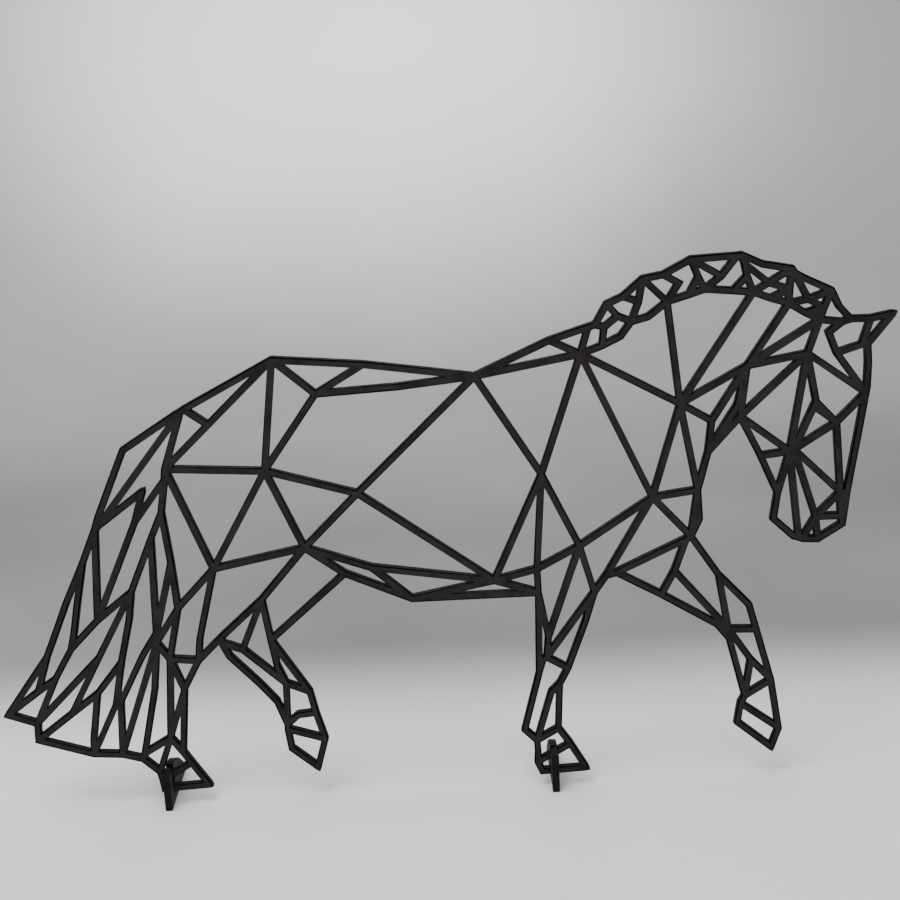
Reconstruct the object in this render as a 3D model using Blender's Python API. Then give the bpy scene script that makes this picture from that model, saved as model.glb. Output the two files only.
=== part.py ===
"""Geometric horse: a flat board cut into straight bars, standing in two small slotted feet."""
import math

import bmesh
import bpy
import numpy as np
from mathutils import Matrix, Vector
from mathutils.geometry import delaunay_2d_cdt

# Driving sizes in metres. X runs along the horse towards its head, Y through the board, Z up.
HORSE_LENGTH = 0.3626    # tail tip joint to ear tip joint
BOARD_THICKNESS = 0.003
BAR_WIDTH = 0.0028
HOOF_LIFT = 0.0050       # underside of the standing hooves above the floor
MITRE_REACH = 1.5        # longest corner, in half bar widths
WINDOW_MIN_SIDE = 0.0009  # openings smaller than a square of this side are closed
CORNER_MERGE = 0.00012   # outline points nearer than this are one corner
CORNER_DEPTH = 0.00002   # flatter corners than this are left out
UNION_SNAP = 0.000002    # crossing edges nearer than this meet
MILLIMETRES = 1000.0

FOOT_THICKNESS = 0.003
FOOT_SEAT_GAP = 0.0003   # room around the board in the slot of a foot
FOOT_FRONT = 0.008       # board's middle to the front edge of a foot
FOOT_HEIGHT = 0.0168
FOOT_SHOULDER = 0.002    # board's middle to where the back of a foot starts to fall
FOOT_TAIL_RUN = 0.026    # length of the falling back
FOOT_TAIL_HEIGHT = 0.003
FOOT_CURVE_STEPS = 10
HIND_FOOT_SETBACK = 0.0023  # heel joint to the middle of the foot
FORE_FOOT_SETBACK = 0.0052
BOARD_PLACE = (FOOT_FRONT - FOOT_SHOULDER - FOOT_TAIL_RUN) / 2  # board's middle from the middle of the depth

# The photograph's view of the board: joints below are read off the picture in its own pixels and
# laid flat on the board's middle plane.
PICTURE_CENTRE = 450.0
VIEW_FOCAL = 1525.0
VIEW_PITCH = math.radians(16.65)
VIEW_ROLL = math.radians(2.8)

BOARD_COLOUR = (0.030, 0.026, 0.025, 1.0)
FOOT_COLOUR = (0.014, 0.013, 0.013, 1.0)

TAIL = {
    "tailTop": (122.8, 449.3), "tailBend": (98.8, 514.5), "hookRoot": (95.2, 527.5),
    "tailFork": (82.8, 562), "tailSwell": (66.5, 602), "tailLow": (53.2, 640),
    "tailKnuckle": (47.7, 655), "tailTip": (8.8, 713.5), "tipNotch": (38.3, 722),
    "tailHeel": (39.5, 738.6), "tailSole": (95, 752.2), "soleMid": (123.5, 752.7),
    "soleEnd": (143.9, 757), "tipBrace": (38.8, 690.4), "tipCross": (55.8, 678),
    "innerUpper": (78, 600), "innerLower": (74.7, 630), "innerKnee": (71.8, 647.5),
    "hookEnd": (142.5, 490.5), "hookFoot": (135, 521), "lockCross": (98, 619),
    "dockLow": (178.3, 413.8), "hookLow": (96.6, 528),
    "tailHead": (165, 468), "tailNeck": (164.6, 478.5), "headFork": (161.5, 511), "lockFork": (151.2, 537.5),
    "legFork": (171.2, 561), "legKnot": (178.3, 607), "lockKnot": (156.8, 631.5),
    "lockRoot": (157, 641.5), "lockStar": (131.5, 591), "lockBend": (129.6, 618),
    "wispA": (99, 657), "wispB": (72.6, 712.4), "wispC": (98, 692.5), "wispD": (121.8, 661),
    "wispE": (116.8, 702.5), "wispF": (121.5, 700.5), "wispG": (143, 654.5),
    "wispH": (155.2, 688), "wispI": (94.3, 738),
}
HIND_LEG = {
    "hock": (170.5, 657.5), "hockFront": (199, 659), "hockLow": (185, 687.5),
    "shin": (200.3, 637), "buttock": (213.8, 567.5), "gaskin": (222, 635.5),
    "fetlock": (171.2, 736.2), "pastern": (184, 750.5), "hindToe": (209.8, 782.5),
    "hindHeel": (165.5, 786.5), "hindHeelTop": (160.8, 770), "soleUp": (145.3, 752),
    "hindHeelMid": (163.5, 778),
    "hindCoronet": (192.3, 761),
}
RAISED_HIND = {
    "thigh": (262, 598), "thighIn": (243.2, 648), "thighOut": (271.3, 638.5),
    "gaskinLow": (222.3, 641.5), "shankA": (230, 654.7), "shankB": (260, 681.8),
    "shankC": (277.5, 699.5), "shankIn": (277.5, 664), "cannon": (286.5, 681.5),
    "cannonOut": (310.1, 689.8), "raisedPastern": (288.2, 722.4), "raisedMid": (298.7, 713.2),
    "raisedFront": (316.3, 710.8), "raisedCoronet": (325.8, 736.8), "raisedHeel": (288.3, 727.5),
    "raisedHeelLow": (292.3, 746.3), "raisedToe": (318.8, 765),
}
BODY = {
    "croup": (271.5, 358.8), "dock": (174.7, 414), "dockUp": (180.5, 410.7), "dockTop": (183.8, 408.2),
    "dockIn": (208.3, 423.6), "hip": (264.8, 469.8), "stifle": (304.8, 546.5),
    "loinIn": (315.5, 392.8), "loinMid": (398, 385.4), "loin": (363, 363.2), "back": (474.5, 375),
    "flank": (357.5, 492),
    "bellyTop": (371.5, 566), "bellyBack": (345, 572), "bellyLow": (412.3, 597),
    "girthIn": (494.5, 579), "girthUp": (537, 567.5), "girth": (538.5, 591),
    "barrel": (541.4, 473), "withersBack": (549, 339.3), "withersTop": (588, 325.8), "withers": (580.3, 353),
    "elbow": (579.5, 544.5), "point": (652.3, 496), "neckStar": (680, 402.5),
    "throat": (711.5, 419.5), "throatLow": (708, 450), "throatFold": (737.3, 403), "chestTop": (697.5, 488.5),
    "chestOut": (699.3, 517), "chestIn": (686, 537.5), "chest": (690.8, 534.8), "foreRoot": (606, 574),
}
FORE_LEG = {
    "foreTop": (594.3, 590.5), "foreBack": (546.8, 655.5), "foreKneeUp": (585.2, 620),
    "foreKnee": (568, 666.5), "foreIn": (548.5, 635.5), "foreLine": (539.3, 671),
    "foreBackLow": (543, 658), "foreShin": (525, 727.8), "foreSplit": (559.8, 682),
    "foreSplitBack": (551.3, 690.5), "foreFetlock": (537.3, 738.6), "forePastern": (558.5, 726.3),
    "foreCoronet": (570.5, 741.8), "foreToe": (586, 765.3), "foreHeelBend": (538.3, 750),
    "foreHeelMid": (537.8, 760), "foreHeel": (542.5, 769),
}
RAISED_FORE = {
    "armpit": (616.5, 571), "armBack": (661.3, 592.8), "armCross": (674.3, 569.3), "knee": (728.3, 627.5),
    "armFront": (718.3, 573), "kneeTop": (748.8, 603), "kneeUnder": (716.5, 622.3), "kneeFront": (756, 627.3),
    "kneeBack": (729, 636.5), "shinStar": (750.4, 657.6), "shinFront": (770.7, 678),
    "shinLow": (740.8, 680), "liftPastern": (744.5, 693.8), "liftHeelTop": (740.3, 701.5),
    "liftCoronet": (778.2, 725.8), "liftHeel": (737, 720.2), "liftToe": (770.7, 745),
}
MANE = {
    "maneFoot": (595, 323.5), "plait1": (606.5, 303), "plait2": (622.5, 295.5),
    "plait3": (642.5, 277.8), "plait4": (663, 273.5), "plait5": (690.8, 258.2),
    "plait6": (741.5, 253.8), "plait7": (762.5, 263), "plait8": (792, 267.5),
    "plait9": (805.5, 277.5), "plait10": (831.3, 289), "plait11": (838.8, 305),
    "plait12": (850.5, 317.5), "crest1": (602, 344.5), "crest2": (620.5, 335),
    "crest3": (631, 320.5), "crest4": (648, 315.5), "crest5": (667, 300.5),
    "crest6": (688.5, 293.5), "crest7": (704.5, 288), "crest7b": (733, 289.5),
    "crest8": (753, 291), "crest8b": (770.5, 297), "crest9": (788.5, 302),
    "crest9b": (805, 311.5), "crestEnd": (819.5, 318.5), "twist1": (604, 326),
    "twist2": (617.5, 315), "twist3": (638.5, 300.5), "twist4": (678.5, 282),
    "twist5": (698, 275.5), "twist6": (721, 275), "twist6b": (737, 254.5), "twist6c": (744.3, 262.5),
    "twist7": (746.8, 274.5), "twist8": (768.5, 281.5), "twist9": (789.3, 288),
    "twist10": (795, 272), "twist11": (808, 298), "twist12": (823.7, 306.5),
}
HEAD = {
    "pollKnot": (747, 364.5), "poll": (807.3, 352), "jawTop": (740, 415), "jaw": (760.3, 454.3),
    "chin": (777.2, 491.5), "lip": (773, 517.2), "lipLow": (793.2, 534.6), "lipIn": (798.3, 535.5),
    "mouthLow": (801.8, 537),
    "mouthEnd": (817.3, 537.2), "nose": (841.8, 522), "cheek": (793.8, 448), "cheekBack": (789.5, 450),
    "muzzle": (815.3, 515), "muzzleFront": (840.7, 514), "bridge": (840, 490.5), "browIn": (836.3, 420.8),
    "eye": (815.8, 400), "eyeLow": (814, 405.2), "forehead": (865.5, 391.5), "noseHigh": (856.2, 440),
    "noseMid": (850.3, 470),
    "noseLow": (846.6, 490), "earBase": (842, 320.5), "earBack": (828.5, 331), "earLow": (836.3, 351.5),
    "earTop": (870.5, 317), "earTip": (892.3, 312.2), "earRoot": (861.5, 343), "earFront": (867.3, 342.5),
    "browHigh": (868, 360.5), "browLow": (866.7, 385),
}

CHAINS = [
    # tail, from its outline inwards
    "dockTop dockUp dock tailTop tailBend hookRoot tailFork tailSwell tailLow tailKnuckle tailTip",
    "tailTip tipNotch tailHeel tailSole soleMid soleEnd",
    "tailKnuckle tipBrace", "tailTip tipBrace tipCross tipNotch", "dockLow hookLow",
    "hookRoot hookEnd hookFoot", "hookRoot lockCross", "tailFork innerUpper innerLower innerKnee",
    "innerKnee tipCross", "innerKnee lockCross lockStar", "lockCross hookFoot tailNeck",
    "tailHead tailNeck headFork lockFork lockStar wispA wispB", "wispA tipNotch", "headFork legFork legKnot",
    "lockFork lockKnot lockRoot", "legFork lockKnot", "legKnot lockRoot", "lockStar lockBend wispD",
    "wispD wispE wispF", "wispD wispC wispB tailHeel", "wispC wispI tailSole", "wispE tailSole",
    "wispF soleMid lockRoot", "lockKnot wispG wispF", "lockRoot wispH soleUp",
    # standing hind leg
    "legKnot hock hockFront shin buttock", "lockRoot hock fetlock", "hock hockLow hockFront gaskin",
    "hockLow fetlock pastern hockLow", "soleEnd soleUp fetlock hindHeelTop soleEnd",
    "pastern hindCoronet hindToe hindHeel hindHeelMid hindHeelTop", "hindCoronet hindHeelMid",
    "legKnot buttock", "tailHead buttock",
    # raised hind leg
    "stifle thigh gaskin gaskinLow shankA shankB shankC raisedPastern", "thigh thighIn gaskinLow",
    "thighIn cannon", "thigh thighOut shankIn cannon cannonOut thighOut", "thighOut bellyBack",
    "cannon raisedPastern raisedMid raisedFront", "cannonOut raisedFront raisedCoronet raisedToe",
    "raisedPastern raisedHeel raisedHeelLow raisedToe", "raisedHeel raisedCoronet",
    # body
    "dockTop croup loin back withersBack withersTop maneFoot", "withersTop withers", "dockUp tailHead",
    "croup dockIn tailHead hip croup", "dockTop dockIn", "croup loinIn loinMid back", "loin loinIn hip",
    "hip flank back", "hip stifle flank", "hip buttock stifle", "stifle bellyTop bellyLow",
    "stifle bellyBack bellyLow girth", "bellyTop girthIn bellyLow", "flank girthIn girth girthUp",
    "girthIn girthUp", "girthIn barrel back", "barrel withers back", "barrel elbow girthUp barrel",
    "withersBack withers point neckStar withers", "point elbow", "point foreRoot foreTop",
    "point chestTop neckStar", "point chest", "chestTop chest", "chestTop chestOut chest",
    "neckStar throat throatLow chestTop", "neckStar pollKnot throat", "pollKnot throatFold throatLow",
    "pollKnot poll", "neckStar crest5",
    "neckStar crest8", "throatLow jawTop pollKnot",
    # standing fore leg
    "elbow foreTop foreBack", "foreTop foreKneeUp foreKnee foreBack", "elbow foreIn foreBack",
    "girth foreIn", "girth foreLine", "foreBack foreBackLow foreLine foreShin foreFetlock",
    "foreKnee foreSplit foreSplitBack foreFetlock forePastern foreSplit",
    "forePastern foreCoronet foreToe foreHeel foreHeelMid foreHeelBend foreFetlock",
    "foreHeelMid foreCoronet",
    # raised fore leg
    "chest chestIn armpit foreRoot", "armpit armBack kneeUnder knee",
    "kneeUnder kneeBack shinLow liftPastern liftHeelTop",
    "chestIn armCross armBack", "armCross knee kneeFront", "chest armFront kneeTop kneeFront",
    "armFront knee shinStar shinFront", "kneeFront shinFront liftCoronet", "shinStar liftPastern shinFront",
    "liftHeelTop liftCoronet liftToe liftHeel liftHeelTop",
    # mane
    "maneFoot plait1 plait2 plait3 plait4 plait5 twist6b plait6 plait7 plait8 twist10 plait9 plait10",
    "plait10 plait11 plait12 earTop",
    "withers crest1 crest2 crest3 crest4 crest5 crest6 crest7 crest7b crest8 crest8b crest9 crest9b",
    "crest9b crestEnd earBase plait12", "maneFoot twist1 crest1", "plait1 twist2 twist1",
    "twist2 crest3 twist3 plait2", "twist3 plait3 crest5 twist4 plait4", "plait5 twist5 crest6",
    "twist5 crest7 twist6 plait5", "twist6 twist6b", "plait6 twist6c twist7 crest7b", "twist7 crest8 twist8",
    "twist6c twist8 plait8 twist9 crest9", "twist8 twist9 crest8b", "twist10 twist11 crest9",
    "twist11 plait10 twist12 crestEnd", "twist11 twist12 crest9b",
    # head
    "crest9 pollKnot crestEnd poll", "jawTop poll forehead", "jawTop cheekBack poll eye browIn",
    "jawTop jaw cheekBack chin", "jaw chin lip lipLow lipIn mouthLow mouthEnd nose noseLow",
    "cheekBack lipIn", "cheekBack cheek muzzle", "muzzle mouthLow", "muzzle mouthEnd",
    "muzzle muzzleFront nose", "muzzle bridge cheek browIn bridge muzzleFront", "bridge noseLow",
    "cheek eye eyeLow browIn", "browIn forehead noseHigh noseMid noseLow",
    "forehead browLow browHigh earFront",
    "forehead earLow earBack earBase", "earLow earRoot earTop earTip earFront earRoot",
]


def clear_scene():
    for old in list(bpy.data.objects):
        bpy.data.objects.remove(old, do_unlink=True)


def lay_flat(pixel):
    """Meet of a picture ray with the board's middle plane, one unit in front of the lens."""
    across, up = pixel[0] - PICTURE_CENTRE, PICTURE_CENTRE - pixel[1]
    cos_roll, sin_roll = math.cos(VIEW_ROLL), math.sin(VIEW_ROLL)
    level = across * cos_roll + up * sin_roll
    rise = up * cos_roll - across * sin_roll
    depth = VIEW_FOCAL * math.cos(VIEW_PITCH) + rise * math.sin(VIEW_PITCH)
    height = rise * math.cos(VIEW_PITCH) - VIEW_FOCAL * math.sin(VIEW_PITCH)
    return Vector((level / depth, height / depth))


def place_joints():
    """Every joint in metres: X from the middle of the board's outline, Z from the floor."""
    joints = {}
    for group in (TAIL, HIND_LEG, RAISED_HIND, BODY, FORE_LEG, RAISED_FORE, MANE, HEAD):
        for name, pixel in group.items():
            joints[name] = lay_flat(pixel)
    scale = HORSE_LENGTH / (joints["earTip"].x - joints["tailTip"].x)
    middle = (joints["earTip"].x + joints["tailTip"].x) / 2
    sole = min(joints[name].y for name in ("hindHeel", "hindToe", "foreHeel", "foreToe")) * scale
    lift = HOOF_LIFT + BAR_WIDTH / 2 - sole
    return {name: Vector(((p.x - middle) * scale, p.y * scale + lift)) for name, p in joints.items()}


def list_bars():
    bars = set()
    for chain in CHAINS:
        names = chain.split()
        for first, second in zip(names, names[1:]):
            bars.add(tuple(sorted((first, second))))
    return sorted(bars)


def bar_outline(start, end):
    side = (end - start).normalized().orthogonal() * (BAR_WIDTH / 2)
    return [start + side, start - side, end - side, end + side]


def corner_outline(centre, neighbours):
    """Mitre that fills the open side of a joint whose bars all lie to one side, or None."""
    ways = sorted((p - centre).normalized().angle_signed(Vector((1, 0))) for p in neighbours)
    half = BAR_WIDTH / 2
    for index, low in enumerate(ways):
        high = ways[(index + 1) % len(ways)] + (math.tau if index + 1 == len(ways) else 0)
        opening = high - low
        if opening <= math.pi + 0.01:
            continue
        first = centre + half * Vector((-math.sin(low), math.cos(low)))
        last = centre + half * Vector((math.sin(high), -math.cos(high)))
        turn = (opening - math.pi) / 2
        reach = half * min(1 / max(math.cos(turn), 0.01), MITRE_REACH)
        middle = (low + high) / 2
        tip = centre + reach * Vector((math.cos(middle), math.sin(middle)))
        return [centre, first, tip, last]
    return None


def turn_left(outline):
    area = sum(a.cross(b) for a, b in zip(outline, outline[1:] + outline[:1]))
    return outline if area > 0 else outline[::-1]


def covered(centres, outline):
    """Which of the points lie within one convex outline."""
    inside = np.ones(len(centres), dtype=bool)
    for a, b in zip(outline, outline[1:] + outline[:1]):
        along = (b.x - a.x, b.y - a.y)
        inside &= along[0] * (centres[:, 1] - a.y) - along[1] * (centres[:, 0] - a.x) > 0
    return inside


def union_edges(outlines):
    """Directed border edges, with the material on their left, of the union of convex outlines."""
    points, faces = [], []
    for outline in outlines:
        faces.append(list(range(len(points), len(points) + len(outline))))
        points.extend(p * MILLIMETRES for p in outline)
    verts, _, cells, _, _, _ = delaunay_2d_cdt(points, [], faces, 0, UNION_SNAP * MILLIMETRES, False)
    verts = [v / MILLIMETRES for v in verts]
    centres = np.array([sum((verts[i] for i in cell), Vector((0, 0))) / len(cell) for cell in cells])
    solid = np.zeros(len(cells), dtype=bool)
    for outline in outlines:
        solid |= covered(centres, outline)
    border = set()
    for cell in (cells[i] for i in np.flatnonzero(solid)):
        for a, b in zip(cell, cell[1:] + cell[:1]):
            if (b, a) in border:
                border.remove((b, a))
            else:
                border.add((a, b))
    return verts, border


def trace_loops(verts, border):
    """Closed loops of the border; at a point met twice the sharpest left turn is taken."""
    following = {}
    for a, b in border:
        following.setdefault(a, []).append(b)
    loops = []
    while following:
        start = min(following)
        here, loop = start, []
        heading = None
        while True:
            choices = following[here]
            after = choices[0]
            if heading is not None:
                after = min(choices, key=lambda c: heading.angle_signed(verts[c] - verts[here]))
            choices.remove(after)
            if not choices:
                del following[here]
            loop.append(here)
            heading = (verts[after] - verts[here]).normalized()
            here = after
            if here == start:
                break
        loops.append([verts[i] for i in loop])
    return loops


def tidy_loop(loop):
    """Drop points on a straight edge, on their neighbour, or at the tip of a hair."""
    points = list(loop)
    changed = True
    while changed and len(points) > 3:
        changed = False
        for i in range(len(points)):
            before, here, after = points[i - 1], points[i], points[(i + 1) % len(points)]
            chord = after - before
            depth = abs(chord.cross(here - before)) / max(chord.length, 1e-9)
            doubled = min((here - before).length, chord.length) < CORNER_MERGE
            if doubled or depth < CORNER_DEPTH:
                del points[i]
                changed = True
                break
    return points


def loop_area(loop):
    return sum(a.cross(b) for a, b in zip(loop, loop[1:] + loop[:1])) / 2


def board_loops():
    joints = place_joints()
    bars = list_bars()
    touching = {}
    outlines = []
    for first, second in bars:
        outlines.append(turn_left(bar_outline(joints[first], joints[second])))
        touching.setdefault(first, []).append(joints[second])
        touching.setdefault(second, []).append(joints[first])
    for name, neighbours in touching.items():
        mitre = corner_outline(joints[name], neighbours)
        if mitre:
            outlines.append(turn_left(mitre))
    loops = []
    for loop in trace_loops(*union_edges(outlines)):
        tidy = tidy_loop(loop)
        if len(tidy) > 2 and abs(loop_area(tidy)) > WINDOW_MIN_SIDE ** 2:
            loops.append(tidy)
    # the middle of the finished length stands on X = 0
    reach = [p.x for loop in loops for p in loop]
    shift = Vector((-(min(reach) + max(reach)) / 2, 0))
    joints = {name: p + shift for name, p in joints.items()}
    return joints, [[p + shift for p in loop] for loop in loops]


def flat_solid(name, loops, thickness, to_world, material, collection):
    """Solid of the given thickness from closed flat loops, later loops being its windows."""
    curve = bpy.data.curves.new(name + "Outline", "CURVE")
    curve.dimensions = "2D"
    curve.fill_mode = "BOTH"
    curve.extrude = thickness / 2
    for loop in loops:
        spline = curve.splines.new("POLY")
        spline.points.add(len(loop) - 1)
        for point, place in zip(spline.points, loop):
            point.co = (place.x, place.y, 0, 1)
        spline.use_cyclic_u = True
    holder = bpy.data.objects.new(name + "Outline", curve)
    collection.objects.link(holder)
    bpy.context.view_layer.update()
    shown = holder.evaluated_get(bpy.context.evaluated_depsgraph_get())
    mesh = bpy.data.meshes.new_from_object(shown)
    mesh.name = name
    bpy.data.objects.remove(holder, do_unlink=True)
    bpy.data.curves.remove(curve)
    body = bmesh.new()
    body.from_mesh(mesh)
    bmesh.ops.remove_doubles(body, verts=body.verts, dist=1e-6)
    bmesh.ops.transform(body, matrix=to_world, verts=body.verts)
    bmesh.ops.recalc_face_normals(body, faces=body.faces)
    body.to_mesh(mesh)
    body.free()
    mesh.materials.clear()
    mesh.materials.append(material)
    solid = bpy.data.objects.new(name, mesh)
    collection.objects.link(solid)
    return solid


def plain_material(name, colour, roughness):
    material = bpy.data.materials.new(name)
    material.use_nodes = True
    shader = material.node_tree.nodes["Principled BSDF"]
    shader.inputs["Base Color"].default_value = colour
    shader.inputs["Roughness"].default_value = roughness
    shader.inputs["Metallic"].default_value = 0.0
    return material


def foot_loop():
    """Side view of a foot, y along the depth: upright in front of the board, a round fall behind."""
    slot = BOARD_THICKNESS / 2 + FOOT_SEAT_GAP
    seat = HOOF_LIFT - FOOT_SEAT_GAP
    fall = FOOT_HEIGHT - FOOT_TAIL_HEIGHT
    back = []
    for step in range(FOOT_CURVE_STEPS + 1):
        share = 1 - step / FOOT_CURVE_STEPS
        depth = FOOT_SHOULDER + FOOT_TAIL_RUN * share
        back.append(Vector((depth, FOOT_TAIL_HEIGHT + fall * math.cos(share * math.pi / 2))))
    ground = [Vector((-FOOT_FRONT, 0)), Vector((FOOT_SHOULDER + FOOT_TAIL_RUN, 0))]
    groove = [Vector((slot, FOOT_HEIGHT)), Vector((slot, seat)), Vector((-slot, seat))]
    lip = [Vector((-slot, FOOT_HEIGHT)), Vector((-FOOT_FRONT, FOOT_HEIGHT))]
    return ground + back + groove + lip


def build():
    clear_scene()
    parts = bpy.data.collections.new("geometric_horse_sculpture")
    bpy.context.scene.collection.children.link(parts)
    board = plain_material("dark_board", BOARD_COLOUR, 0.62)
    edge = plain_material("dark_foot", FOOT_COLOUR, 0.7)
    joints, loops = board_loops()
    upright = Matrix.Translation((0, BOARD_PLACE, 0)) @ Matrix.Rotation(math.pi / 2, 4, "X")
    flat_solid("horse", loops, BOARD_THICKNESS, upright, board, parts)
    # the foot's own side view turned across the board
    across = Matrix(((0, 0, 1, 0), (1, 0, 0, 0), (0, 1, 0, 0), (0, 0, 0, 1)))
    places = (("hind_foot", "hindHeel", HIND_FOOT_SETBACK), ("fore_foot", "foreHeel", FORE_FOOT_SETBACK))
    for name, heel, setback in places:
        place = Matrix.Translation((joints[heel].x + setback, BOARD_PLACE, 0))
        flat_solid(name, [foot_loop()], FOOT_THICKNESS, place @ across, edge, parts)


build()
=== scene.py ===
import bpy
import bmesh
import math
from mathutils import Matrix, Vector


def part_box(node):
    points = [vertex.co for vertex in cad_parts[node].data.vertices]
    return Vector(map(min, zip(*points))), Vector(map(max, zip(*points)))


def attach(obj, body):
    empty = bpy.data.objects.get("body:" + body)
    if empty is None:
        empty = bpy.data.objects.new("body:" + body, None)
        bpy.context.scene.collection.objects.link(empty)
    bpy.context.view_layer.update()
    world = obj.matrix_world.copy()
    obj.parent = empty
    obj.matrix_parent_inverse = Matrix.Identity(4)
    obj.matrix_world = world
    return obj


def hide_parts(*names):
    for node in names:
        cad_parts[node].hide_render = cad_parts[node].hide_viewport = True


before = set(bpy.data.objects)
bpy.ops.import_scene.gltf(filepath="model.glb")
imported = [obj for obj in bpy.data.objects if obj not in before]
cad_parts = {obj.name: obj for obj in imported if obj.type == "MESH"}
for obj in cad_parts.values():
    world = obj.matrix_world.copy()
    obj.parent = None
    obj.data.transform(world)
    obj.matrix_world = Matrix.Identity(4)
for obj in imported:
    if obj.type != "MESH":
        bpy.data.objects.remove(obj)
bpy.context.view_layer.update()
print("frame loaded")

nodeSpacing = 200  # editor units between neighbouring nodes
weldGap = 0.000004  # corners closer than this are one corner


# helpers for node trees
def newTree(name, kind, entries, exits):
    # entries and exits are (label, socket kind, start value) rows
    tree = bpy.data.node_groups.new(name, kind)
    for direction, rows in (("INPUT", entries), ("OUTPUT", exits)):
        for label, socketKind, start in rows:
            socket = tree.interface.new_socket(label, in_out=direction, socket_type="NodeSocket" + socketKind)
            if start is not None:
                socket.default_value = start
    return tree


def addNode(tree, kind, place=(0, 0), **settings):
    node = tree.nodes.new(kind)
    node.location = (place[0] * nodeSpacing, place[1] * nodeSpacing)
    for key, value in settings.items():
        setattr(node, key, value)
    return node


def feed(tree, source, socket):
    # a socket takes either a wire or a plain value
    if isinstance(source, bpy.types.NodeSocket):
        tree.links.new(source, socket)
    else:
        socket.default_value = source


def combine(tree, place, operation, *terms):
    node = addNode(tree, "ShaderNodeMath", place, operation=operation)
    for term, socket in zip(terms, node.inputs):
        feed(tree, term, socket)
    return node.outputs["Value"]


def combineVectors(tree, place, operation, first, second=None, scale=None):
    node = addNode(tree, "ShaderNodeVectorMath", place, operation=operation)
    feed(tree, first, node.inputs[0])
    if second is not None:
        feed(tree, second, node.inputs[1])
    if scale is not None:
        feed(tree, scale, node.inputs["Scale"])
    return node.outputs["Vector"]


def remap(tree, place, source, fromSpan=(0, 1), toSpan=(0, 1), curve="LINEAR"):
    node = addNode(tree, "ShaderNodeMapRange", place, interpolation_type=curve)
    for label, value in zip(("From Min", "From Max", "To Min", "To Max"), (*fromSpan, *toSpan)):
        node.inputs[label].default_value = value
    feed(tree, source, node.inputs["Value"])
    return node.outputs["Result"]


def addNoise(tree, place, where, scale, grain):
    node = addNode(tree, "ShaderNodeTexNoise", place, noise_dimensions="3D")
    feed(tree, where, node.inputs["Vector"])
    feed(tree, scale, node.inputs["Scale"])
    for label, value in grain.items():
        node.inputs[label].default_value = value
    return node.outputs["Fac"]


def mixTones(tree, place, mask, low, high):
    mix = addNode(tree, "ShaderNodeMix", place, data_type="RGBA")
    feed(tree, mask, mix.inputs["Factor"])
    for label, tone in (("A", low), ("B", high)):
        feed(tree, tone, next(s for s in mix.inputs if s.name == label and s.type == "RGBA"))
    return next(s for s in mix.outputs if s.type == "RGBA")


def bumpFrom(tree, place, height, strength, distance, before=None):
    bump = addNode(tree, "ShaderNodeBump", place)
    feed(tree, strength, bump.inputs["Strength"])
    feed(tree, distance, bump.inputs["Distance"])
    feed(tree, height, bump.inputs["Height"])
    if before is not None:
        feed(tree, before, bump.inputs["Normal"])
    return bump.outputs["Normal"]


# pressed wood fibre, shared by the faces and the cut walls
fibre = {
    "broadGrain": {"Detail": 4, "Roughness": 0.6},
    "fineGrain": {"Detail": 3, "Roughness": 0.75, "Distortion": 0.6},
    "mottleSpan": (0.35, 0.65),
    "fleckSpan": (0.54, 0.72),
    "fineHeight": 0.7,
}


def makeFibreGroup():
    # broad mottling, fine flecks and a little height
    entries = (("Mottle Scale", "Float", 60.0), ("Fleck Scale", "Float", 900.0), ("Fleck Share", "Float", 0.5))
    exits = (("Mottle", "Float", None), ("Flecks", "Float", None), ("Height", "Float", None))
    group = newTree("pressedFibre", "ShaderNodeTree", entries, exits)
    enter = addNode(group, "NodeGroupInput", (-4, 0))
    leave = addNode(group, "NodeGroupOutput", (4, 0))
    where = addNode(group, "ShaderNodeTexCoord", (-4, 2)).outputs["Object"]
    broad = addNoise(group, (-2, 2), where, enter.outputs["Mottle Scale"], fibre["broadGrain"])
    fine = addNoise(group, (-2, 0), where, enter.outputs["Fleck Scale"], fibre["fineGrain"])
    mottle = remap(group, (0, 2), broad, fibre["mottleSpan"])
    picked = remap(group, (0, 0), fine, fibre["fleckSpan"], curve="SMOOTHSTEP")
    flecks = combine(group, (1, 0), "MULTIPLY", picked, enter.outputs["Fleck Share"])
    height = combine(group, (2, -1), "MULTIPLY_ADD", fine, fibre["fineHeight"], mottle)
    for label, source in (("Mottle", mottle), ("Flecks", flecks), ("Height", height)):
        feed(group, source, leave.inputs[label])
    return group


# lines left by the cut, running straight through the sheet
cutLine = {
    "grain": {"Detail": 2},
    "lineSpan": (0.38, 0.64),
}


def makeCutLineGroup():
    entries = (("Squeeze", "Vector", (1, 0.03, 1)), ("Line Scale", "Float", 2400.0))
    exits = (("Lines", "Float", None), ("Height", "Float", None))
    group = newTree("cutLines", "ShaderNodeTree", entries, exits)
    enter = addNode(group, "NodeGroupInput", (-4, 0))
    leave = addNode(group, "NodeGroupOutput", (3, 0))
    where = addNode(group, "ShaderNodeTexCoord", (-4, 2)).outputs["Object"]
    squeezed = combineVectors(group, (-2, 1), "MULTIPLY", where, enter.outputs["Squeeze"])
    height = addNoise(group, (-1, 1), squeezed, enter.outputs["Line Scale"], cutLine["grain"])
    lines = remap(group, (1, 1), height, cutLine["lineSpan"], curve="SMOOTHSTEP")
    feed(group, lines, leave.inputs["Lines"])
    feed(group, height, leave.inputs["Height"])
    return group


fibreGroup = makeFibreGroup()
cutLineGroup = makeCutLineGroup()


def placeGroup(tree, group, place, values):
    node = addNode(tree, "ShaderNodeGroup", place)
    node.node_tree = group
    for label, value in values.items():
        node.inputs[label].default_value = value
    return node.outputs


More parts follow.
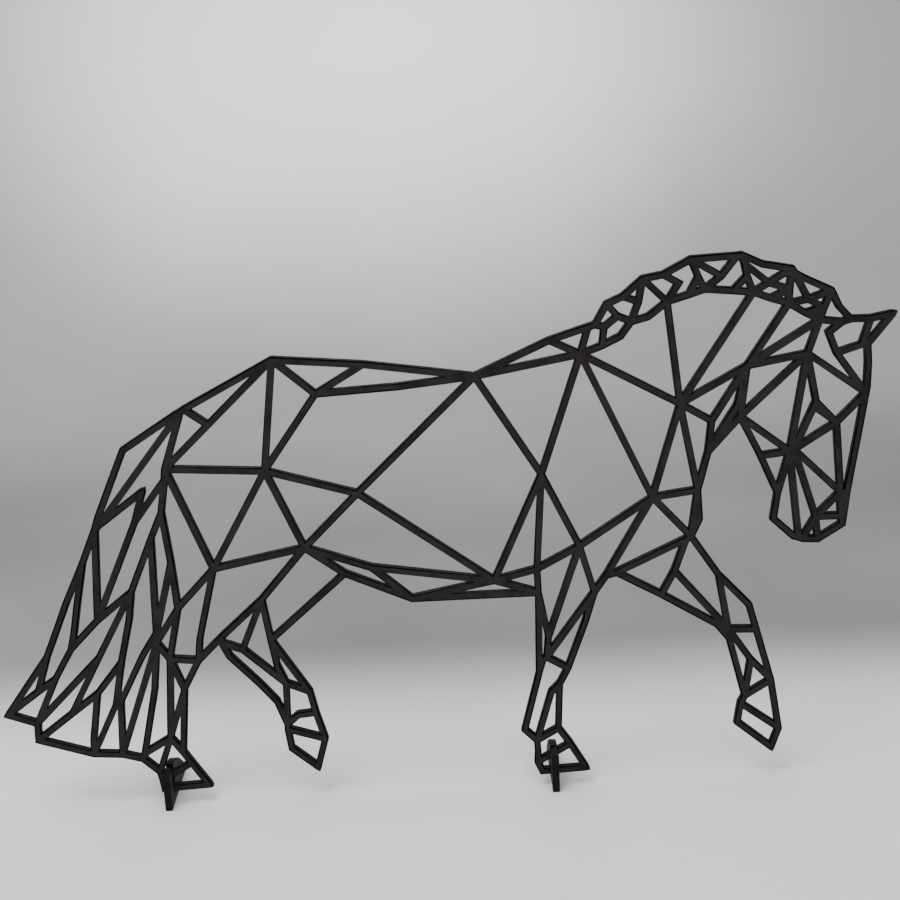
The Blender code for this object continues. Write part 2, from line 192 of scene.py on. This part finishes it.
def startMaterial(name, sheen):
    material = bpy.data.materials.new(name)
    material.use_nodes = True
    shader = material.node_tree.nodes["Principled BSDF"]
    shader.inputs["Specular IOR Level"].default_value = sheen
    return material, material.node_tree, shader


# the stained face of the sheet: mottled near-black with brown flecks
stain = {
    "deep": (0.0138, 0.0126, 0.0116),
    "warm": (0.0322, 0.0290, 0.0262),
    "fleck": (0.070, 0.056, 0.047, 1),
    "scorch": (0.0006, 0.0005, 0.0005, 1),
    "sheen": 0.05,
    "roughSpan": (0.56, 0.80),
    "fibre": {"Mottle Scale": 95.0, "Fleck Scale": 1300.0, "Fleck Share": 0.55},
    "scorchBlotch": 0.35,
    "scorchSpan": (0.2, 0.8),
    "bumpStrength": 0.45,
    "bumpHeight": 0.00008,
}


def stainedFace(name, paintedReflectionLift):
    material, tree, shader = startMaterial(name, stain["sheen"])
    wood = placeGroup(tree, fibreGroup, (-5, 0), stain["fibre"])
    # the deep and warm tones are multiplied here; a factor above one is a painted reflection that brightens
    # the whole face
    deep, warm = (tuple(c * paintedReflectionLift for c in stain[tone]) + (1,) for tone in ("deep", "warm"))
    body = mixTones(tree, (-3, 1), wood["Mottle"], deep, warm)
    flecked = mixTones(tree, (-2, 1), wood["Flecks"], body, stain["fleck"])
    # the cut has scorched the face along every edge, unevenly
    edge = addNode(tree, "ShaderNodeAttribute", (-4, 3), attribute_name="rim").outputs["Fac"]
    uneven = combine(tree, (-3, 3), "MULTIPLY_ADD", wood["Mottle"], stain["scorchBlotch"], edge)
    burn = remap(tree, (-2, 3), uneven, stain["scorchSpan"], curve="SMOOTHSTEP")
    feed(tree, mixTones(tree, (-1, 2), burn, flecked, stain["scorch"]), shader.inputs["Base Color"])
    # a scorched edge has no sheen left, so it is the roughest
    rough = remap(tree, (-2, 0), wood["Mottle"], toSpan=stain["roughSpan"])
    feed(tree, combine(tree, (-1, 0), "MAXIMUM", rough, burn), shader.inputs["Roughness"])
    bump = bumpFrom(tree, (-2, -1), wood["Height"], stain["bumpStrength"], stain["bumpHeight"])
    feed(tree, bump, shader.inputs["Normal"])
    return material


# the cut wall: charred, with lines straight through the sheet
char = {
    "deep": (0.0025, 0.0023, 0.0022, 1),
    "ash": (0.0100, 0.0088, 0.0080, 1),
    "sheen": 0.14,
    "roughSpan": (0.62, 0.9),
    "lineScale": 1900.0,
    "fibre": {"Mottle Scale": 160.0, "Fleck Scale": 1500.0, "Fleck Share": 0.25},
    "fibreStrength": 0.25,
    "fibreHeight": 0.00005,
    "lineStrength": 0.5,
    "lineHeight": 0.00008,
}


def charredWall(name, squeeze):
    material, tree, shader = startMaterial(name, char["sheen"])
    cut = placeGroup(tree, cutLineGroup, (-5, 0), {"Squeeze": squeeze, "Line Scale": char["lineScale"]})
    wood = placeGroup(tree, fibreGroup, (-5, -2), char["fibre"])
    feed(tree, mixTones(tree, (-2, 1), cut["Lines"], char["deep"], char["ash"]), shader.inputs["Base Color"])
    feed(tree, remap(tree, (-2, 0), cut["Lines"], toSpan=char["roughSpan"]), shader.inputs["Roughness"])
    fine = bumpFrom(tree, (-3, -1), wood["Height"], char["fibreStrength"], char["fibreHeight"])
    both = bumpFrom(tree, (-2, -1), cut["Height"], char["lineStrength"], char["lineHeight"], fine)
    feed(tree, both, shader.inputs["Normal"])
    return material


# the cut sheet as a geometry tree: a flat face goes in, a closed sheet with softened edges comes out
edgeCurve = 8.0  # the higher, the closer to its edge a face starts to fall away


def makeSheetTree():
    entries = (("Geometry", "Geometry", None), ("Through", "Vector", None), ("Edge Fall", "Float", None),
               ("Face Finish", "Material", None), ("Wall Finish", "Material", None))
    tree = newTree("cutSheet", "GeometryNodeTree", entries, (("Geometry", "Geometry", None),))
    enter = addNode(tree, "NodeGroupInput", (-6, 0)).outputs
    leave = addNode(tree, "NodeGroupOutput", (7, 0))
    rim = addNode(tree, "GeometryNodeInputNamedAttribute", (-6, -2), data_type="FLOAT")
    rim.inputs["Name"].default_value = "rim"

    # both faces fall towards each other along their rims
    unit = combineVectors(tree, (-5, -1), "NORMALIZE", enter["Through"])
    fall = combineVectors(tree, (-4, -1), "SCALE", unit, scale=enter["Edge Fall"])
    rounded = combine(tree, (-4, -2), "POWER", rim.outputs["Attribute"], edgeCurve)
    drop = combineVectors(tree, (-3, -1), "SCALE", fall, scale=rounded)
    front = addNode(tree, "GeometryNodeSetPosition", (-2, 1))
    feed(tree, enter["Geometry"], front.inputs["Geometry"])
    feed(tree, drop, front.inputs["Offset"])
    back = addNode(tree, "GeometryNodeSetPosition", (-1, -1))
    feed(tree, enter["Geometry"], back.inputs["Geometry"])
    feed(tree, combineVectors(tree, (-2, -1), "SUBTRACT", enter["Through"], drop), back.inputs["Offset"])
    turned = addNode(tree, "GeometryNodeFlipFaces", (0, -1))
    feed(tree, back.outputs["Geometry"], turned.inputs["Mesh"])

    # the walls run from one fallen rim to the other
    bothFalls = combineVectors(tree, (-2, 3), "SCALE", fall, scale=2.0)
    depth = combineVectors(tree, (-1, 3), "SUBTRACT", enter["Through"], bothFalls)
    beside = addNode(tree, "GeometryNodeInputMeshEdgeNeighbors", (-1, 4))
    bareEdge = addNode(tree, "FunctionNodeCompare", (0, 4), data_type="INT", operation="EQUAL")
    feed(tree, beside.outputs["Face Count"], bareEdge.inputs[2])
    bareEdge.inputs[3].default_value = 1
    walls = addNode(tree, "GeometryNodeExtrudeMesh", (1, 2), mode="EDGES")
    feed(tree, front.outputs["Geometry"], walls.inputs["Mesh"])
    feed(tree, bareEdge.outputs["Result"], walls.inputs["Selection"])
    feed(tree, depth, walls.inputs["Offset"])

    joined = addNode(tree, "GeometryNodeJoinGeometry", (2, 0))
    feed(tree, walls.outputs["Mesh"], joined.inputs["Geometry"])
    feed(tree, turned.outputs["Mesh"], joined.inputs["Geometry"])
    closed = addNode(tree, "GeometryNodeMergeByDistance", (3, 0))
    closed.inputs["Distance"].default_value = weldGap
    real = addNode(tree, "GeometryNodeRealizeInstances", (4, 0))
    stained = addNode(tree, "GeometryNodeSetMaterial", (5, 0))
    feed(tree, enter["Face Finish"], stained.inputs["Material"])
    charred = addNode(tree, "GeometryNodeSetMaterial", (6, 0))
    feed(tree, walls.outputs["Side"], charred.inputs["Selection"])
    feed(tree, enter["Wall Finish"], charred.inputs["Material"])
    steps = (joined, closed, real, stained, charred, leave)
    for before, after in zip(steps, steps[1:]):
        feed(tree, before.outputs["Geometry"], after.inputs["Geometry"])
    return tree


sheetTree = makeSheetTree()


# the flat face of a solid, with narrow rings along its edges
facingLimit = 0.99
drawBackTries = 8


def isCrossed(face, axis):
    # true where a corner turns the wrong way, seen down the axis
    corners = [v.co for v in face.verts]
    laps = zip(corners, corners[1:] + corners[:1], corners[2:] + corners[:2])
    return any((b - a).cross(c - b)[axis] > 0 for a, b, c in laps)


def drawBack(faces, outside, axis):
    # where a ring has run past the middle of a narrow place, it goes back towards its edge
    for _ in range(drawBackTries):
        crossed = {v for f in faces if isCrossed(f, axis) for v in f.verts if v in outside}
        if not crossed:
            break
        for v in crossed:
            v.co = (v.co + outside[v].co) / 2


def addRing(sheet, rim, inner, width, share, axis):
    ring = bmesh.ops.inset_region(sheet, faces=inner, thickness=width, use_boundary=True,
                                  use_even_offset=False, use_relative_offset=False)["faces"]
    kept = {v for f in inner for v in f.verts}
    outside = {}
    for edge in {e for f in ring for e in f.edges}:
        start, end = edge.verts
        if (start in kept) != (end in kept):
            near, far = (start, end) if start in kept else (end, start)
            outside[near] = far
            near[rim] = 0.0
            far[rim] = share
    drawBack(inner + ring, outside, axis)


def flatFace(nodeName, values):
    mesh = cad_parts[nodeName].data.copy()
    sheet = bmesh.new()
    sheet.from_mesh(mesh)
    bmesh.ops.remove_doubles(sheet, verts=sheet.verts, dist=weldGap)
    sheet.normal_update()
    away = [f for f in sheet.faces if f.normal[values["axis"]] > -facingLimit]
    bmesh.ops.delete(sheet, geom=away, context="FACES")
    rim = sheet.verts.layers.float.new("rim")
    inner = list(sheet.faces)
    for width, share in zip(values["rings"], values["shares"]):
        addRing(sheet, rim, inner, width, share, values["axis"])
    sheet.to_mesh(mesh)
    sheet.free()
    return mesh


def cutSheet(pieceName, nodeName, values, faceFinish, wallFinish):
    low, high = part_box(nodeName)
    axis = values["axis"]
    source = bpy.data.objects.new(pieceName + "Flat", flatFace(nodeName, values))
    bpy.context.scene.collection.objects.link(source)
    through = [0, 0, 0]
    through[axis] = high[axis] - low[axis]
    cut = source.modifiers.new("cut", "NODES")
    cut.node_group = sheetTree
    sockets = {item.name: item.identifier for item in sheetTree.interface.items_tree if item.in_out == "INPUT"}
    cut[sockets["Through"]] = through
    cut[sockets["Edge Fall"]] = values["edgeFall"]
    cut[sockets["Face Finish"]] = faceFinish
    cut[sockets["Wall Finish"]] = wallFinish
    bpy.context.view_layer.update()
    done = source.evaluated_get(bpy.context.evaluated_depsgraph_get())
    mesh = bpy.data.meshes.new_from_object(done)
    source.modifiers.remove(cut)
    bpy.data.objects.remove(source, do_unlink=True)
    shell = bmesh.new()
    shell.from_mesh(mesh)
    bmesh.ops.recalc_face_normals(shell, faces=shell.faces)
    openEdges = sum(1 for e in shell.edges if len(e.link_faces) != 2)
    if shell.calc_volume(signed=True) < 0:
        bmesh.ops.reverse_faces(shell, faces=shell.faces)
    shell.to_mesh(mesh)
    shell.free()
    mesh.name = pieceName
    piece = bpy.data.objects.new(pieceName, mesh)
    bpy.context.scene.collection.objects.link(piece)
    print(pieceName, "faces", len(mesh.polygons), "open edges", openEdges)
    return piece


# the horse board, cut along y
board = {
    "axis": 1,
    "rings": (0.00034, 0.00044),
    "shares": (1.0, 0.85),
    "edgeFall": 0.00014,
    "paintedReflectionLift": 1.0,
    "squeeze": (1, 0.03, 1),
}
# the two slotted feet, cut along x
feet = {
    "axis": 0,
    "rings": (0.00030, 0.00040),
    "shares": (1.0, 0.85),
    "edgeFall": 0.00012,
    # the feet's faces are brightened 1.8 times: a painted reflection of the pale sweep on their sides
    "paintedReflectionLift": 1.8,
    "squeeze": (0.03, 1, 1),
}

boardFace = stainedFace("stainedBoardFace", board["paintedReflectionLift"])
boardWall = charredWall("charredBoardWall", board["squeeze"])
footFace = stainedFace("stainedFootFaceWithPaintedReflection", feet["paintedReflectionLift"])
footWall = charredWall("charredFootWall", feet["squeeze"])
print("finishes ready")

horse = cutSheet("horseBoard", "horse", board, boardFace, boardWall)
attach(horse, "root")
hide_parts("horse")
for pieceName, nodeName in (("hindFoot", "hind_foot"), ("foreFoot", "fore_foot")):
    foot = cutSheet(pieceName, nodeName, feet, footFace, footWall)
    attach(foot, "root")
    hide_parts(nodeName)
print("pieces ready")


# the pale sweep: floor, bend and wall, one pale sheet with painted shade darkening the bend and the wall
studio = {
    "floorTone": (0.90, 0.90, 0.885, 1),
    # bendTone, wallTone and topTone are painted shade: the bend and the wall are the same pale sheet as the
    # floor
    "bendTone": (0.20, 0.20, 0.196, 1),
    "wallTone": (0.37, 0.37, 0.36, 1),
    "topTone": (0.52, 0.52, 0.50, 1),
    "cloudTone": (0.85, 0.85, 0.84, 1),
    "bendSpan": (0.03, 0.15),
    "wallSpan": (0.25, 0.75),
    "topSpan": (0.04, 0.30),
    "cloudScale": 3.5,
    "cloudGrain": {"Detail": 3},
    "cloudSpan": (0.3, 0.7),
    "cloudShare": 0.16,
    "rough": 0.75,
    "sheen": 0.2,
    "floorFront": -1.6,
    "floorBack": 0.55,
    "bend": 0.35,
    "bendSteps": 12,
    "wallTop": 2.2,
    "halfWidth": 2.4,
}


def sweepMaterial():
    # the floor dims towards the bend and pales again up the wall: painted shade on one pale sheet
    material, tree, shader = startMaterial("paleSweepWithPaintedShade", studio["sheen"])
    shader.inputs["Roughness"].default_value = studio["rough"]
    where = addNode(tree, "ShaderNodeTexCoord", (-6, 0)).outputs["Object"]
    parts = addNode(tree, "ShaderNodeSeparateXYZ", (-5, 0))
    feed(tree, where, parts.inputs["Vector"])
    tone = studio["floorTone"]
    for step, (axis, name) in enumerate((("Y", "bend"), ("Y", "wall"), ("Z", "top"))):
        climb = remap(tree, (-4, step), parts.outputs[axis], studio[name + "Span"], curve="SMOOTHSTEP")
        tone = mixTones(tree, (step - 3, 0), climb, tone, studio[name + "Tone"])
    cloud = addNoise(tree, (-5, -2), where, studio["cloudScale"], studio["cloudGrain"])
    dull = remap(tree, (-3, -2), cloud, studio["cloudSpan"], (0, studio["cloudShare"]))
    feed(tree, mixTones(tree, (0, -1), dull, tone, studio["cloudTone"]), shader.inputs["Base Color"])
    return material


def makeSweep():
    back, bend, steps = studio["floorBack"], studio["bend"], studio["bendSteps"]
    profile = [(studio["floorFront"], 0.0), (back, 0.0)]
    for step in range(1, steps + 1):
        turn = step / steps * math.pi / 2
        profile.append((back + bend * math.sin(turn), bend * (1 - math.cos(turn))))
    profile.append((back + bend, studio["wallTop"]))
    sweep = bmesh.new()
    sides = (-studio["halfWidth"], studio["halfWidth"])
    rows = [[sweep.verts.new((x, y, z)) for x in sides] for y, z in profile]
    for low, high in zip(rows, rows[1:]):
        sweep.faces.new((low[0], low[1], high[1], high[0]))
    mesh = bpy.data.meshes.new("studioSweep")
    sweep.to_mesh(mesh)
    sweep.free()
    mesh.shade_smooth()
    mesh.materials.append(sweepMaterial())
    floor = bpy.data.objects.new("studioSweep", mesh)
    bpy.context.scene.collection.objects.link(floor)


# three soft lights, and a round pool of light high on the wall that dies away to both sides
softLights = {
    "overhead": {"place": (-0.35, -0.25, 1.3), "aim": (0, 0.05, 0.0), "size": 0.9, "power": 14},
    "frontFill": {"place": (0.5, -1.3, 0.8), "aim": (0, 0, 0.1), "size": 0.8, "power": 5},
    "wallWash": {"place": (0.0, 0.2, 1.5), "aim": (0, 0.9, 0.5), "size": 0.8, "power": 4},
}
wallPool = {"place": (-0.06, 0.1, 1.5), "aim": (-0.06, 0.9, 0.52), "angle": 36, "softness": 0.1, "power": 260}
air = {"tone": (0.9, 0.93, 1.0, 1), "strength": 0.45}


def hangLight(name, kind, values):
    lamp = bpy.data.lights.new(name, kind)
    lamp.energy = values["power"]
    holder = bpy.data.objects.new(name, lamp)
    holder.location = values["place"]
    aim = Vector(values["aim"]) - Vector(values["place"])
    holder.rotation_euler = aim.to_track_quat("-Z", "Y").to_euler()
    bpy.context.scene.collection.objects.link(holder)
    return lamp


def setLights():
    for name, values in softLights.items():
        lamp = hangLight(name, "AREA", values)
        lamp.shape = "DISK"
        lamp.size = values["size"]
    pool = hangLight("wallPool", "SPOT", wallPool)
    pool.spot_size = math.radians(wallPool["angle"])
    pool.spot_blend = 1.0
    pool.shadow_soft_size = wallPool["softness"]
    world = bpy.data.worlds.new("studioAir")
    bpy.context.scene.world = world
    world.use_nodes = True
    background = world.node_tree.nodes["Background"]
    background.inputs["Color"].default_value = air["tone"]
    background.inputs["Strength"].default_value = air["strength"]


# the eye's place and turn lay the board and both feet where they stand in the picture
eye = {
    "place": (0.00755, -0.58923, 0.32238),
    "pitch": 16.65,
    "roll": -2.8,
    "lens": 61.0,
    "sensor": 36.0,
    "across": 0.0002,
    "rise": 0.0009,
    "nearest": 0.01,
}


def setCamera():
    lens = bpy.data.cameras.new("eye")
    lens.lens = eye["lens"]
    lens.sensor_width = eye["sensor"]
    lens.shift_x = eye["across"]
    lens.shift_y = eye["rise"]
    lens.clip_start = eye["nearest"]
    holder = bpy.data.objects.new("eye", lens)
    tilt = Matrix.Rotation(math.radians(90 - eye["pitch"]), 4, "X")
    roll = Matrix.Rotation(math.radians(eye["roll"]), 4, "Z")
    holder.matrix_world = Matrix.Translation(eye["place"]) @ tilt @ roll
    bpy.context.scene.collection.objects.link(holder)
    bpy.context.scene.camera = holder


makeSweep()
setLights()
setCamera()
print("studio ready")
